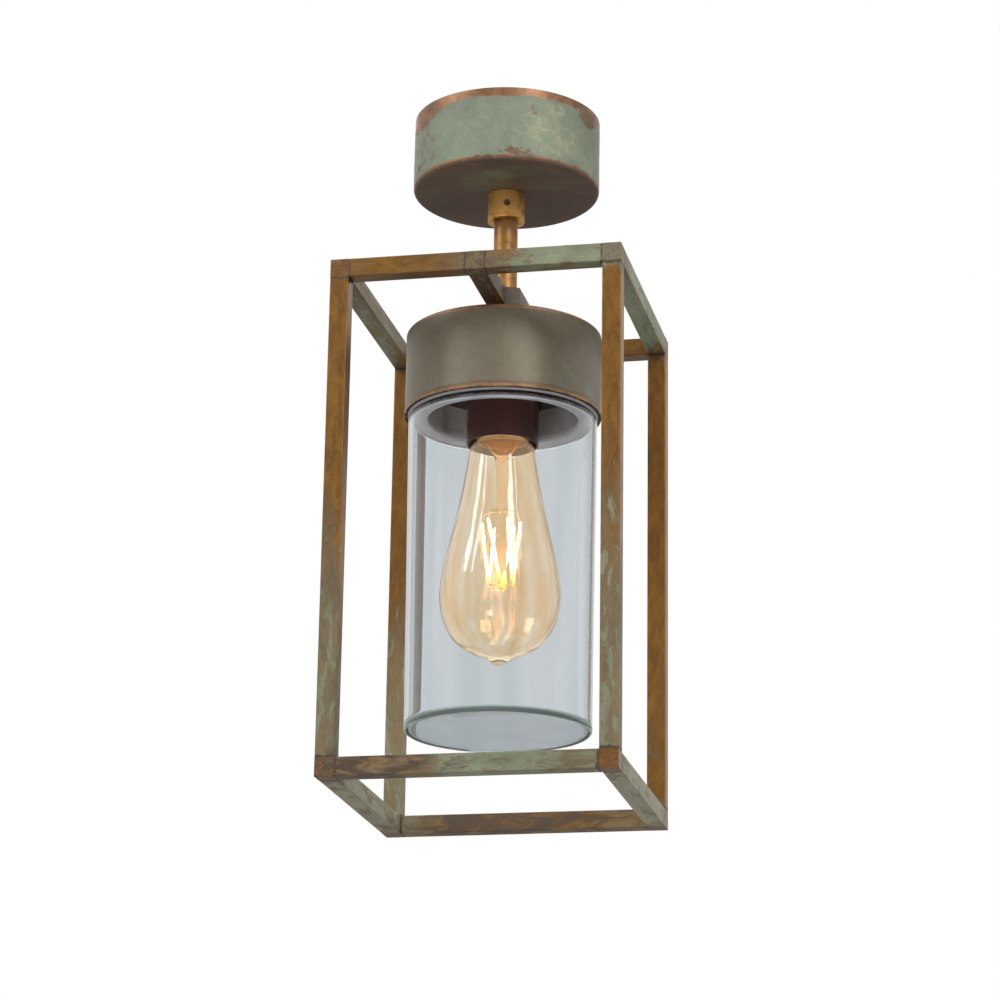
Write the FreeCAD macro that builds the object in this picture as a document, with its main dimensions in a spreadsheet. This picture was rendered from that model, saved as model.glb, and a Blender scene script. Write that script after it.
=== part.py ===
import FreeCAD, Part
import math
import os
import re

import Sketcher

# A porch ceiling lantern: a canopy against the ceiling, a rigid stem, an open cage of square brass
# bars, and in it a glass jar screwed up into a round cup over one filament lamp.
# Millimetres; +Z is up; the origin is on the ceiling plane, on the axis of the stem.

dimensions = {
    # ceiling end
    "canopy_diameter": 102, "canopy_height": 42, "canopy_wall": 1.2, "canopy_round": 2.5,
    "collar_diameter": 20, "collar_height": 16, "collar_edge": 0.4, "collar_lip": 1.4,
    "collar_groove": 0.5, "groove_slope": 0.4,
    "stem_diameter": 13, "stem_visible": 46.5, "slide_gap": 0.08,
    "grub_diameter": 3.9, "grub_gap": 0.05, "grub_height": 8, "grub_angle": 14.5, "grub_length": 3.3,
    "grub_socket": 2.2, "grub_tip": 1.5,
    "nipple_diameter": 10, "nipple_bore": 8, "nipple_grip": 12,
    "nut_flats": 14, "nut_height": 4, "washer_diameter": 16, "washer_height": 1,
    "bracket_length": 84, "bracket_width": 22, "bracket_thickness": 2, "bracket_drop": 20,
    "bracket_web": 34, "slot_spacing": 68, "slot_length": 12, "slot_width": 5,
    "tab_width": 20, "tab_height": 12, "earth_screw_offset": 11.4, "earth_head": 6.4,
    "earth_head_height": 2.6, "earth_thread": 4, "earth_length": 6, "driver_slot": 0.9,
    "block_length": 26, "block_depth": 14, "block_height": 18, "block_top": 14, "way_pitch": 8,
    "clamp_pitch": 9, "clamp_diameter": 3.2, "clamp_length": 3.4, "clamp_recess": 4, "way_depth": 5,
    "wire_diameter": 2, "wire_side": 1.9, "wire_front": 1.1, "wire_crossing": 7, "wire_rise": 7.5,
    "wire_entry": 0.3, "wire_exit": 0.7,
    # cage
    "cage_width": 155, "cage_height": 277.5, "bar_size": 10, "bar_wall": 1, "edge_round": 0.6,
    "spigot_length": 9, "hub_diameter": 48, "hub_reach": 12.5, "hub_notch": 1,
    "boss_diameter": 18,
    # cup and jar
    "spacer_diameter": 20, "spacer_height": 10,
    "cup_diameter": 106, "cup_height": 46.5, "cup_wall": 1.5, "cup_round": 2,
    "gallery_height": 15.5, "gasket_height": 2.8, "gasket_recess": 2.5,
    "neck_diameter": 88.8, "neck_bore": 81, "neck_height": 17, "thread_gap": 0.3,
    "neck_round": 0.8, "jar_diameter": 101.4, "jar_foot_diameter": 98.6, "jar_height": 172.7,
    "jar_wall": 2.4, "shoulder_thickness": 2.5, "base_thickness": 3, "heel_round": 1.6,
    "shoulder_round": 2, "ceiling_round": 1.5,
    # lampholder and lamp
    "holder_diameter": 38.6, "holder_drop": 7, "holder_height": 55, "holder_cap_height": 14,
    "holder_wall": 1.1, "holder_roof": 3, "shell_bore": 26.8, "shell_wall": 0.5, "shell_length": 22,
    "insulator_height": 22, "contact_diameter": 8, "contact_height": 1,
    "cap_diameter": 26.4, "cap_wall": 0.6, "cap_sleeve": 19, "cap_height": 24, "cap_shoulder": 9,
    "base_top": 5, "tip_diameter": 9.2, "bulb_wall": 0.8, "bulb_gap": 2,
    "flare_radius": 11.4, "flare_neck": 4.5, "flare_top": 1.5, "flare_edge": 1, "flare_drop": 8,
    "mount_radius": 3.2, "mount_drop": 14, "mount_foot": 4, "filament_diameter": 2, "filament_top": 42,
    "filament_bottom": 78.5, "filament_top_radius": 8, "filament_bottom_radius": 9,
    "filament_twist": 40, "support_diameter": 0.7,
}

# blown outline of the lamp's glass, as (depth below the cap's mouth, radius)
bulb_outline = [(0, 12.6), (2.2, 15.0), (4.5, 17.3), (12, 18.7), (30, 21.6), (47, 25.2), (66, 29.6),
                (78, 31.6), (87, 32.2), (96, 31.0), (103, 28.7), (110.5, 24.0), (115.5, 17.3),
                (119, 9.0), (121.7, 5.0), (123.5, 2.0)]
bulb_depth = 124
filament_count = 6

doc = FreeCAD.newDocument("porch_ceiling_lantern")
sheet = doc.addObject("Spreadsheet::Sheet", "sizes")
for row, (alias, size) in enumerate(dimensions.items(), 1):
    sheet.set(f"A{row}", alias)
    sheet.set(f"B{row}", str(size))
    sheet.setAlias(f"B{row}", alias)
doc.recompute()

pieces = []

# heights below the ceiling, as formulas of the driving dimensions
web_top = "(bracket_thickness - bracket_drop)"
web_bottom = "(-bracket_drop)"
stem_top = "(-bracket_drop - washer_height)"
cage_top = "(-canopy_height - collar_height - stem_visible)"
cage_bottom = f"({cage_top} - cage_height)"
cup_top = f"({cage_top} - bar_size - spacer_height)"
cup_rim = f"({cup_top} - cup_height)"
gallery_bottom = f"({cup_rim} + gasket_recess)"
shoulder_top = f"({gallery_bottom} - gasket_height)"
neck_top = f"({shoulder_top} + neck_height)"
holder_top = f"({cup_top} - holder_drop)"
holder_rim = f"({holder_top} - holder_height)"
cap_mouth = f"({holder_rim} + bulb_gap)"
post_centre = "(cage_width / 2 - bar_size / 2)"


# helpers

def formula(text):
    """Write a formula of plain dimension names as references to the sheet's cells."""
    return re.sub(r"[a-z][a-z_]+", lambda w: "sizes." + w[0] if w[0] in dimensions else w[0], text)


def value(text):
    """The number that a formula gives."""
    return float(sheet.evalExpression(formula(text)))


def bind(target, name, text):
    target.setExpression(name, formula(text))


def place(target, x="0", y="0", z="0", turn=None):
    """Set a turn, then bind the position to the sheet."""
    if turn:
        target.Placement = FreeCAD.Placement(FreeCAD.Vector(), turn)
    for axis, text in zip("xyz", (x, y, z)):
        if text != "0":
            bind(target, ".Placement.Base." + axis, text)


def new_body(name, x="0", y="0", z="0", turn=None):
    body = doc.addObject("PartDesign::Body", name)
    body.Label = name
    place(body, x, y, z, turn)
    pieces.append(body)
    return body


def new_sketch(body, plane):
    sketch = body.newObject("Sketcher::SketchObject", body.Name + "_sketch")
    origin_plane = [item for item in body.Origin.OriginFeatures if item.Role == plane][0]
    sketch.AttachmentSupport = [(origin_plane, "")]
    sketch.MapMode = "FlatFace"
    return sketch


def closed_outline(sketch, corners):
    """Add a closed polygon and bind both coordinates of each of its corners."""
    points = [FreeCAD.Vector(value(x), value(y), 0) for x, y in corners]
    first = sketch.GeometryCount
    count = len(points)
    for i in range(count):
        sketch.addGeometry(Part.LineSegment(points[i], points[(i + 1) % count]), False)
    for i in range(count):
        sketch.addConstraint(Sketcher.Constraint("Coincident", first + i, 2, first + (i + 1) % count, 1))
    for i, corner in enumerate(corners):
        for kind, text, axis in (("DistanceX", corner[0], -2), ("DistanceY", corner[1], -1)):
            if text == "0":
                sketch.addConstraint(Sketcher.Constraint("PointOnObject", first + i, 1, axis))
            else:
                distance = Sketcher.Constraint(kind, -1, 1, first + i, 1, value(text))
                bind(sketch, f"Constraints[{sketch.addConstraint(distance)}]", text)


def round_edges(body, radius, wanted):
    base = body.Tip
    names = [f"Edge{i}" for i, edge in enumerate(base.Shape.Edges, 1) if wanted(edge)]
    if not names:
        raise ValueError(f"{body.Label}: no edge to round")
    fillet = body.newObject("PartDesign::Fillet", body.Name + "_round")
    fillet.Base = (base, names)
    bind(fillet, "Radius", radius)
    body.Tip = fillet
    doc.recompute()


def circle_at(radius, height):
    """A test for the circular edge of one radius at one height of a turned piece."""
    wanted_radius, wanted_height = value(radius), value(height)

    def test(edge):
        curve = edge.Curve
        return (isinstance(curve, Part.Circle) and abs(curve.Radius - wanted_radius) < 0.01
                and abs(curve.Center.z - wanted_height) < 0.01)
    return test


def turned(name, profile, z="0", rounds=()):
    """A piece turned about Z from a closed profile of (radius, height) corners."""
    body = new_body(name, z=z)
    sketch = new_sketch(body, "XZ_Plane")
    closed_outline(sketch, profile)
    turning = body.newObject("PartDesign::Revolution", name + "_turning")
    turning.Profile = sketch
    turning.ReferenceAxis = (sketch, ["V_Axis"])
    turning.Angle = 360
    doc.recompute()
    for radius, edge_radius, edge_height in rounds:
        round_edges(body, radius, circle_at(edge_radius, edge_height))
    return body


def tube(name, outer, inner, length, z):
    """A plain tube hanging down from the height z; outer and inner are diameters."""
    return turned(name, [(f"{inner} / 2", "0"), (f"{outer} / 2", "0"),
                         (f"{outer} / 2", f"-({length})"), (f"{inner} / 2", f"-({length})")], z)


def box(body, size, centre, cut=False):
    kind = "PartDesign::SubtractiveBox" if cut else "PartDesign::AdditiveBox"
    block = body.newObject(kind, body.Name + "_block")
    for side, axis, length, middle in zip(("Length", "Width", "Height"), "xyz", size, centre):
        bind(block, side, length)
        bind(block, ".Placement.Base." + axis, f"({middle}) - ({length}) / 2")
    body.Tip = block
    doc.recompute()


def cylinder(body, radius, height, x="0", y="0", z="0", turn=None, cut=False):
    kind = "PartDesign::SubtractiveCylinder" if cut else "PartDesign::AdditiveCylinder"
    round_bar = body.newObject(kind, body.Name + "_bore" if cut else body.Name + "_bar")
    bind(round_bar, "Radius", radius)
    bind(round_bar, "Height", height)
    place(round_bar, x, y, z, turn)
    body.Tip = round_bar
    doc.recompute()


def group(name, members):
    compound = doc.addObject("Part::Compound", name)
    compound.Label = name
    compound.Links = members
    pieces.append(compound)


def feature(name, shape):
    item = doc.addObject("Part::Feature", name)
    item.Label = name
    item.Shape = shape
    item.Placement = FreeCAD.Placement()
    pieces.append(item)


toward_y = FreeCAD.Rotation(FreeCAD.Vector(1, 0, 0), -90)
toward_x = FreeCAD.Rotation(FreeCAD.Vector(0, 1, 0), 90)
toward_grub = FreeCAD.Rotation(FreeCAD.Vector(0, 0, 1), FreeCAD.Vector(
    math.sin(math.radians(value("grub_angle"))), -math.cos(math.radians(value("grub_angle"))), 0))


# ceiling end

def make_bracket():
    """A strap bent to a hat: two feet on the ceiling, two legs and a web that carries the stem."""
    body = new_body("ceiling_bracket")
    box(body, ("bracket_web", "bracket_width", "bracket_thickness"),
        ("0", "0", "bracket_thickness / 2 - bracket_drop"))
    foot = "(bracket_length - bracket_web) / 2 + bracket_thickness"
    for side in ("-1", "1"):
        box(body, ("bracket_thickness", "bracket_width", "bracket_drop"),
            (f"{side} * (bracket_web - bracket_thickness) / 2", "0", "-bracket_drop / 2"))
        box(body, (foot, "bracket_width", "bracket_thickness"),
            (f"{side} * (bracket_length / 2 - ({foot}) / 2)", "0", "-bracket_thickness / 2"))
        slot_centre = f"{side} * slot_spacing / 2"
        straight = "(slot_length - slot_width)"
        box(body, (straight, "slot_width", "3 * bracket_thickness"), (slot_centre, "0", "0"), cut=True)
        for end in ("-0.5", "0.5"):
            cylinder(body, "slot_width / 2", "3 * bracket_thickness", x=f"{slot_centre} + {end} * {straight}",
                     z="-2 * bracket_thickness", cut=True)
    box(body, ("tab_width", "bracket_thickness", "tab_height"),
        ("0", "(bracket_width - bracket_thickness) / 2", "-bracket_drop - tab_height / 2"))
    cylinder(body, "nipple_diameter / 2", "3 * bracket_thickness", z=f"{web_bottom} - bracket_thickness",
             cut=True)
    cylinder(body, "earth_thread / 2", "3 * bracket_thickness", x="-earth_screw_offset",
             z=f"{web_bottom} - bracket_thickness", cut=True)


def make_nut(name, z):
    """A thin hexagon nut whose top face is at the height z."""
    body = new_body(name, z=z)
    prism = body.newObject("PartDesign::AdditivePrism", name + "_hexagon")
    prism.Polygon = 6
    bind(prism, "Circumradius", "nut_flats / 2 / cos(30)")
    bind(prism, "Height", "nut_height")
    place(prism, z="-nut_height")
    body.Tip = prism
    doc.recompute()
    cylinder(body, "nipple_diameter / 2", "3 * nut_height", z="-2 * nut_height", cut=True)


def make_washers():
    """One washer above the web, one between web and stem, one under the roof of the cup."""
    rings = []
    for i, z in enumerate((web_top, stem_top, f"{cup_top} - cup_wall - washer_height")):
        parts = []
        for label, diameter in (("disc", "washer_diameter"), ("hole", "nipple_diameter")):
            round_bar = doc.addObject("Part::Cylinder", f"washer_{label}_{i}")
            bind(round_bar, "Radius", f"{diameter} / 2")
            bind(round_bar, "Height", "washer_height")
            place(round_bar, z=z)
            parts.append(round_bar)
        ring = doc.addObject("Part::Cut", f"washer_ring_{i}")
        ring.Base, ring.Tool = parts
        rings.append(ring)
    group("stem_washers", rings)


def make_earth_screw():
    body = turned("bracket_earth_screw", [("0", "-earth_length"), ("earth_thread / 2", "-earth_length"),
                                          ("earth_thread / 2", "0"), ("earth_head / 2", "0"),
                                          ("earth_head / 2", "earth_head_height"),
                                          ("0", "earth_head_height")], web_top)
    bind(body, ".Placement.Base.x", "-earth_screw_offset")
    box(body, ("2 * earth_head", "driver_slot", "2 * driver_slot"), ("0", "0", "earth_head_height"), cut=True)


def make_terminal_block():
    """A moulded block of three ways, with the wires in at the top and the clamp screws in front."""
    middle = "(bracket_width / 2 + block_depth / 2)"
    body = new_body("terminal_block")
    box(body, ("block_length", "block_depth", "block_height"),
        ("0", middle, "-block_top - block_height / 2"))
    screws = []
    for way in ("-1", "0", "1"):
        x = f"{way} * way_pitch"
        cylinder(body, "wire_diameter / 2 + wire_entry", "2 * way_depth", x=x, y=middle, z="-block_top - way_depth",
                 cut=True)
        cylinder(body, "wire_diameter / 2 + wire_exit", "2 * way_depth", x=x, y=middle,
                 z="-block_top - block_height - way_depth", cut=True)
        for row in ("-0.5", "0.5"):
            z = f"-block_top - block_height / 2 + {row} * clamp_pitch"
            front = "bracket_width / 2 + block_depth - clamp_recess"
            cylinder(body, "clamp_diameter / 2", "2 * clamp_recess", x=x, y=front, z=z, turn=toward_y, cut=True)
            screw = doc.addObject("Part::Cylinder", "clamp_screw")
            bind(screw, "Radius", "clamp_diameter / 2")
            bind(screw, "Height", "clamp_length")
            place(screw, x, front, z, toward_y)
            screws.append(screw)
    group("terminal_screws", screws)


def make_canopy():
    bore = "stem_diameter / 2 + slide_gap"
    outer = "canopy_diameter / 2"
    turned("canopy", [(bore, "-canopy_height"), (outer, "-canopy_height"), (outer, "0"),
                      (f"{outer} - canopy_wall", "0"),
                      (f"{outer} - canopy_wall", "canopy_wall - canopy_height"),
                      (bore, "canopy_wall - canopy_height")],
           rounds=[("canopy_round", outer, "-canopy_height"),
                   ("canopy_round - canopy_wall", f"{outer} - canopy_wall", "canopy_wall - canopy_height")])


def make_collar():
    """The collar has a shallow groove above its lower lip and a tapped hole for its grub screw."""
    bore = "stem_diameter / 2 + slide_gap"
    outer = "collar_diameter / 2"
    groove = f"({outer} - collar_groove)"
    lip = "(collar_lip - collar_height)"
    body = turned("canopy_collar", [(bore, "-collar_height"), (outer, "-collar_height"), (outer, lip),
                                    (groove, f"{lip} + groove_slope"), (groove, f"{lip} + 2 * groove_slope"),
                                    (outer, f"{lip} + 3 * groove_slope"), (outer, "0"), (bore, "0")],
                  "-canopy_height", rounds=[("collar_edge", outer, "0"),
                                            ("collar_edge", outer, "-collar_height")])
    cylinder(body, "grub_diameter / 2 + grub_gap", "collar_diameter", z="-grub_height", turn=toward_grub,
             cut=True)


def make_grub_screw():
    """A grub screw with a hexagon socket, its tip on the stem."""
    body = new_body("collar_grub_screw", "stem_diameter / 2 * sin(grub_angle)",
                    "-stem_diameter / 2 * cos(grub_angle)", "-canopy_height - grub_height", toward_grub)
    cylinder(body, "grub_diameter / 2", "grub_length")
    socket = body.newObject("PartDesign::SubtractivePrism", "grub_socket")
    socket.Polygon = 6
    bind(socket, "Circumradius", "grub_socket / 2")
    bind(socket, "Height", "grub_length")
    place(socket, z="grub_tip")
    body.Tip = socket
    doc.recompute()


# wires

def wire_solid(route, bend):
    """A round wire along straight runs joined by tangent arcs."""
    points = [FreeCAD.Vector(*point) for point in route]
    edges = []
    start = points[0]
    for before, corner, after in zip(points, points[1:], points[2:]):
        inward = (before - corner).normalize()
        outward = (after - corner).normalize()
        half_turn = (math.pi - inward.getAngle(outward)) / 2
        setback = bend * math.tan(half_turn)
        middle_way = (inward + outward).normalize()
        arc_start = corner + inward * setback
        arc_end = corner + outward * setback
        arc_middle = corner + middle_way * (bend / math.cos(half_turn) - bend)
        edges.append(Part.LineSegment(start, arc_start).toShape())
        edges.append(Part.Arc(arc_start, arc_middle, arc_end).toShape())
        start = arc_end
    edges.append(Part.LineSegment(start, points[-1]).toShape())
    path = Part.Wire(edges)
    first_run = points[1] - points[0]
    section = Part.Wire(Part.makeCircle(value("wire_diameter / 2"), points[0], first_run))
    return path.makePipeShell([section], True, False)


def make_wires():
    """Live and neutral run from the lampholder up the stem and over to their ways of the block."""
    way_y = value("bracket_width / 2 + block_depth / 2")
    way_z = value("-block_top - way_depth + 1")
    foot_z = value(f"{holder_top} - holder_cap_height - 2")
    crossing_z = value("-wire_crossing")
    front_y = value("-wire_front")
    for name, side, way in (("live_wire", 1, 1), ("neutral_wire", -1, 0)):
        x = side * value("wire_side")
        way_x = way * value("way_pitch")
        feature(name, wire_solid([(x, front_y, foot_z), (x, front_y, crossing_z), (way_x, way_y, crossing_z),
                                  (way_x, way_y, way_z)], 1.5 * value("wire_diameter")))
    way_x = -value("way_pitch")
    screw_x = -value("earth_screw_offset")
    web_z = value(f"{web_top} + wire_diameter / 2")
    over_z = web_z + value("wire_rise")
    edge_y = value("bracket_width / 2 - bracket_thickness") - 0.5
    feature("earth_wire", wire_solid([(way_x, way_y, way_z), (way_x, way_y, over_z),
                                      (screw_x, edge_y, over_z), (screw_x, edge_y, web_z),
                                      (screw_x, value("earth_head / 2") + 0.1, web_z)],
                                     value("wire_diameter")))


# cage

def square_tube(name, length, x, y, z, turn=None):
    """A square brass tube that starts at x, y, z and runs along Z, or where the turn points Z."""
    body = new_body(name, x, y, z, turn)
    sketch = new_sketch(body, "XY_Plane")
    for half in ("bar_size / 2", "(bar_size / 2 - bar_wall)"):
        closed_outline(sketch, [(f"-{half}", f"-{half}"), (half, f"-{half}"), (half, half),
                                (f"-{half}", half)])
    pad = body.newObject("PartDesign::Pad", name + "_length")
    pad.Profile = sketch
    bind(pad, "Length", length)
    doc.recompute()
    corner = value("bar_size / 2")
    round_edges(body, "edge_round", lambda edge: all(
        abs(abs(v.X) - corner) < 0.01 and abs(abs(v.Y) - corner) < 0.01 for v in edge.Vertexes)
        and abs(edge.Vertexes[0].Z - edge.Vertexes[-1].Z) > 1)
    return body


def make_corner(name, across, along, height):
    """A solid cube with rounded edges and a spigot into each of the three tubes that meet in it."""
    level = {"top": f"{cage_top} - bar_size / 2", "bottom": f"{cage_bottom} + bar_size / 2"}[height]
    body = new_body(name, f"{across} * {post_centre}", f"{along} * {post_centre}", level)
    box(body, ("bar_size", "bar_size", "bar_size"), ("0", "0", "0"))
    round_edges(body, "edge_round / 2", lambda edge: True)
    inner = "(bar_size - 2 * bar_wall)"
    upward = "-1" if height == "top" else "1"
    reach = "(bar_size / 2 + spigot_length / 2)"
    long_side = "(spigot_length + 2)"
    box(body, (long_side, inner, inner), (f"-({across}) * ({reach} - 1)", "0", "0"))
    box(body, (inner, long_side, inner), ("0", f"-({along}) * ({reach} - 1)", "0"))
    box(body, (inner, inner, long_side), ("0", "0", f"{upward} * ({reach} - 1)"))


def make_cage():
    top, bottom = f"{cage_top} - bar_size / 2", f"{cage_bottom} + bar_size / 2"
    start = "(bar_size - cage_width / 2)"
    for along, depth in (("-1", "front"), ("1", "rear")):
        y = f"{along} * {post_centre}"
        for across, side in (("-1", "left"), ("1", "right")):
            square_tube(f"post_{depth}_{side}", "cage_height - 2 * bar_size", f"{across} * {post_centre}", y,
                        f"{cage_bottom} + bar_size")
            for height in ("top", "bottom"):
                make_corner(f"corner_{height}_{depth}_{side}", across, along, height)
            half_start = start if side == "left" else "bar_size / 2"
            square_tube(f"rail_top_{depth}_{side}_half", "(cage_width - 3 * bar_size) / 2", half_start, y, top,
                        toward_x)
        square_tube(f"rail_bottom_{depth}", "cage_width - 2 * bar_size", start, y, bottom, toward_x)
        make_crossbar_arm(f"crossbar_{depth}", along)
    for across, side in (("-1", "left"), ("1", "right")):
        for height, z in (("top", top), ("bottom", bottom)):
            square_tube(f"rail_{height}_{side}", "cage_width - 2 * bar_size", f"{across} * {post_centre}",
                        start, z, toward_y)


def make_crossbar_arm(name, along):
    """A solid bar from the outer face of the cage to the hub, with spigots into both half rails."""
    body = new_body(name, z=f"{cage_top} - bar_size / 2")
    inner_end = "(hub_diameter / 2 - hub_notch)"
    length = f"(cage_width / 2 - {inner_end})"
    box(body, ("bar_size", length, "bar_size"), ("0", f"{along} * (cage_width / 2 + {inner_end}) / 2", "0"))
    round_edges(body, "edge_round / 2", lambda edge: abs(edge.Vertexes[0].Y) + abs(edge.Vertexes[-1].Y)
                > value("hub_diameter") + 1)
    inner = "(bar_size - 2 * bar_wall)"
    box(body, ("bar_size + 2 * spigot_length", inner, inner), ("0", f"{along} * {post_centre}", "0"))


def make_hub():
    """A disc cut flush with the crossbar on the left and flat on the right, where it stands out, with
    a boss round the bore of the threaded tube and a notch at each end for the crossbar."""
    body = new_body("hub_block", z=f"{cage_top} - bar_size")
    cylinder(body, "hub_diameter / 2", "bar_size")
    for middle in ("-(bar_size + hub_diameter) / 2", "hub_reach + hub_diameter / 2"):
        box(body, ("hub_diameter", "2 * hub_diameter", "4 * bar_size"), (middle, "0", "0"), cut=True)
    for side in ("-1", "1"):
        box(body, ("bar_size", "2 * hub_notch", "4 * bar_size"), ("0", f"{side} * hub_diameter / 2", "0"),
            cut=True)
    cylinder(body, "boss_diameter / 2", "bar_size")
    cylinder(body, "nipple_diameter / 2", "4 * bar_size", z="-bar_size", cut=True)


# cup and jar

def make_cup():
    outer, inner = "cup_diameter / 2", "(cup_diameter / 2 - cup_wall)"
    turned("fitter_cup", [("nipple_diameter / 2", "0"), (outer, "0"), (outer, "-cup_height"),
                          (inner, "-cup_height"), (inner, "-cup_wall"),
                          ("nipple_diameter / 2", "-cup_wall")],
           cup_top, rounds=[("cup_round", outer, "0"), ("0.5", inner, "-cup_wall")])
    bore = "(neck_diameter / 2 + thread_gap)"
    turned("glass_gallery", [(bore, "0"), (inner, "0"), (inner, "gallery_height"),
                             (bore, "gallery_height")], gallery_bottom)
    turned("glass_gasket", [(f"{bore} + 0.4", "0"), (f"{inner} - 0.4", "0"),
                            (f"{inner} - 0.4", "-gasket_height"), (f"{bore} + 0.4", "-gasket_height")],
           gallery_bottom)


def make_jar():
    """The jar: open threaded neck, flat shoulder, a wall that narrows slightly downwards, flat base."""
    neck, neck_inner = "neck_diameter / 2", "neck_bore / 2"
    outer, inner = "jar_diameter / 2", "(jar_diameter / 2 - jar_wall)"
    foot_outer, foot_inner = "jar_foot_diameter / 2", "(jar_foot_diameter / 2 - jar_wall)"
    foot, floor = "(-neck_height - jar_height)", "(base_thickness - neck_height - jar_height)"
    ceiling = "(-neck_height - shoulder_thickness)"
    turned("glass_jar", [(neck_inner, "0"), (neck, "0"), (neck, "-neck_height"), (outer, "-neck_height"),
                         (foot_outer, foot), ("0", foot), ("0", floor), (foot_inner, floor),
                         (inner, ceiling), (neck_inner, ceiling)], neck_top,
           rounds=[("heel_round", foot_outer, foot), ("shoulder_round", outer, "-neck_height"),
                   ("heel_round", foot_inner, floor), ("ceiling_round", inner, ceiling),
                   ("neck_round", neck_inner, ceiling), ("neck_round", neck, "0"),
                   ("neck_round", neck_inner, "0")])


# lampholder and lamp

def make_lampholder():
    outer, inner = "holder_diameter / 2", "(holder_diameter / 2 - holder_wall)"
    turned("lampholder_cap", [("nipple_diameter / 2", "0"), ("nipple_diameter", "0"),
                              (outer, "-0.6 * holder_cap_height"), (outer, "-holder_cap_height"),
                              (inner, "-holder_cap_height"), (inner, "-0.6 * holder_cap_height - 1"),
                              ("nipple_diameter - 1", "-holder_roof"), ("nipple_diameter / 2", "-holder_roof")],
           holder_top)
    skirt = "(holder_height - holder_cap_height)"
    turned("lampholder_body", [(inner, "0"), (outer, "0"), (outer, f"-{skirt}"), (inner, f"-{skirt}")],
           f"{holder_top} - holder_cap_height", rounds=[("0.5", outer, f"-{skirt}")])
    shell_inner, shell_outer = "shell_bore / 2", "(shell_bore / 2 + shell_wall)"
    contact = f"({cap_mouth} + cap_height)"
    turned("lampholder_screw_shell", [(shell_inner, "0"), (shell_outer, "0"), (shell_outer, "shell_length"),
                                      (shell_inner, "shell_length")], f"{cap_mouth} + 0.5")
    lip = "(shell_length + 0.5 - cap_height)"
    top = f"({lip} + insulator_height / 2)"
    turned("lampholder_insulator", [(shell_outer, "-insulator_height / 2"),
                                    (inner, "-insulator_height / 2"), (inner, top), ("0", top),
                                    ("0", "contact_height"), (shell_outer, "contact_height")], contact)
    turned("lampholder_contact", [("0", "0"), ("contact_diameter / 2", "0"),
                                  ("contact_diameter / 2", "contact_height"), ("0", "contact_height")],
           contact)


def blown_profile(inset):
    """The lamp's outline moved in by the inset, closed on the axis, as points of radius and depth."""
    mouth = value(cap_mouth)
    points = [FreeCAD.Vector(max(radius - inset, 0.2), 0, mouth - depth) for depth, radius in bulb_outline]
    if inset:
        points = points[:-2]
    tip_depth = bulb_depth if not inset else bulb_outline[-2][0] - inset
    return points + [FreeCAD.Vector(0, 0, mouth - tip_depth)]


def make_bulb_glass():
    edges = []
    outer, inner = blown_profile(0), blown_profile(value("bulb_wall"))
    for points in (outer, inner):
        curve = Part.BSplineCurve()
        curve.interpolate(points)
        edges.append(curve.toShape())
    edges.append(Part.LineSegment(outer[0], inner[0]).toShape())
    edges.append(Part.LineSegment(outer[-1], inner[-1]).toShape())
    face = Part.Face(Part.Wire(Part.__sortEdges__(edges)))
    feature("bulb_glass", face.revolve(FreeCAD.Vector(), FreeCAD.Vector(0, 0, 1), 360))


def make_bulb_base():
    """The screw cap with its turned-in edge, the insulator cone on it and the contact tip."""
    outer, inner = "cap_diameter / 2", "(cap_diameter / 2 - cap_wall)"
    turned("bulb_cap", [(inner, "0"), (outer, "0"), (outer, "cap_sleeve"),
                        ("cap_shoulder", "cap_sleeve + 1.5"), ("cap_shoulder", "cap_sleeve + 0.8"),
                        (inner, "cap_sleeve - 0.8")], cap_mouth)
    turned("bulb_base_insulator", [("0", "cap_sleeve + 1.7"), ("cap_shoulder - 0.2", "cap_sleeve + 1.7"),
                                   ("base_top", "cap_height - 1"), ("0", "cap_height - 1")], cap_mouth)
    turned("bulb_contact_tip", [("0", "cap_height - 1"), ("tip_diameter / 2", "cap_height - 1"),
                                ("tip_diameter / 3", "cap_height"), ("0", "cap_height")], cap_mouth)
    turned("bulb_mount", [("0", "flare_top"), ("flare_radius", "flare_top"),
                          ("flare_radius", "flare_top - flare_edge"), ("flare_neck", "-flare_drop"),
                          ("mount_radius", "-mount_drop"), ("mount_radius", "-filament_bottom - mount_foot"),
                          ("0", "-filament_bottom - mount_foot")], cap_mouth)


def rod(start, end, diameter):
    """A round rod between two points."""
    return Part.makeCylinder(diameter / 2, (end - start).Length, start, end - start)


def ring_point(radius, angle, height):
    return FreeCAD.Vector(radius * math.cos(angle), radius * math.sin(angle), height)


def make_filaments():
    """Slanted filament sticks round the glass mount, held by a wire at each end."""
    sticks, supports = [], []
    mouth = value(cap_mouth)
    top, bottom = mouth - value("filament_top"), mouth - value("filament_bottom")
    top_radius, bottom_radius = value("filament_top_radius"), value("filament_bottom_radius")
    twist = math.radians(value("filament_twist"))
    mount = value("mount_radius") + 0.5
    clear = FreeCAD.Vector(0, 0, 1.5)
    for i in range(filament_count):
        angle = 2 * math.pi * i / filament_count
        upper = ring_point(top_radius, angle, top)
        lower = ring_point(bottom_radius, angle + twist, bottom)
        sticks.append(rod(upper, lower, value("filament_diameter")))
        upper_wire = (ring_point(mount, angle, top + 6), upper + clear)
        lower_wire = (ring_point(mount, angle + twist, bottom) - clear, lower - clear)
        for start, end in (upper_wire, lower_wire):
            supports.append(rod(start, end, value("support_diameter")))
    feature("bulb_filaments", Part.makeCompound(sticks))
    feature("bulb_support_wires", Part.makeCompound(supports))


# build and write

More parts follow.
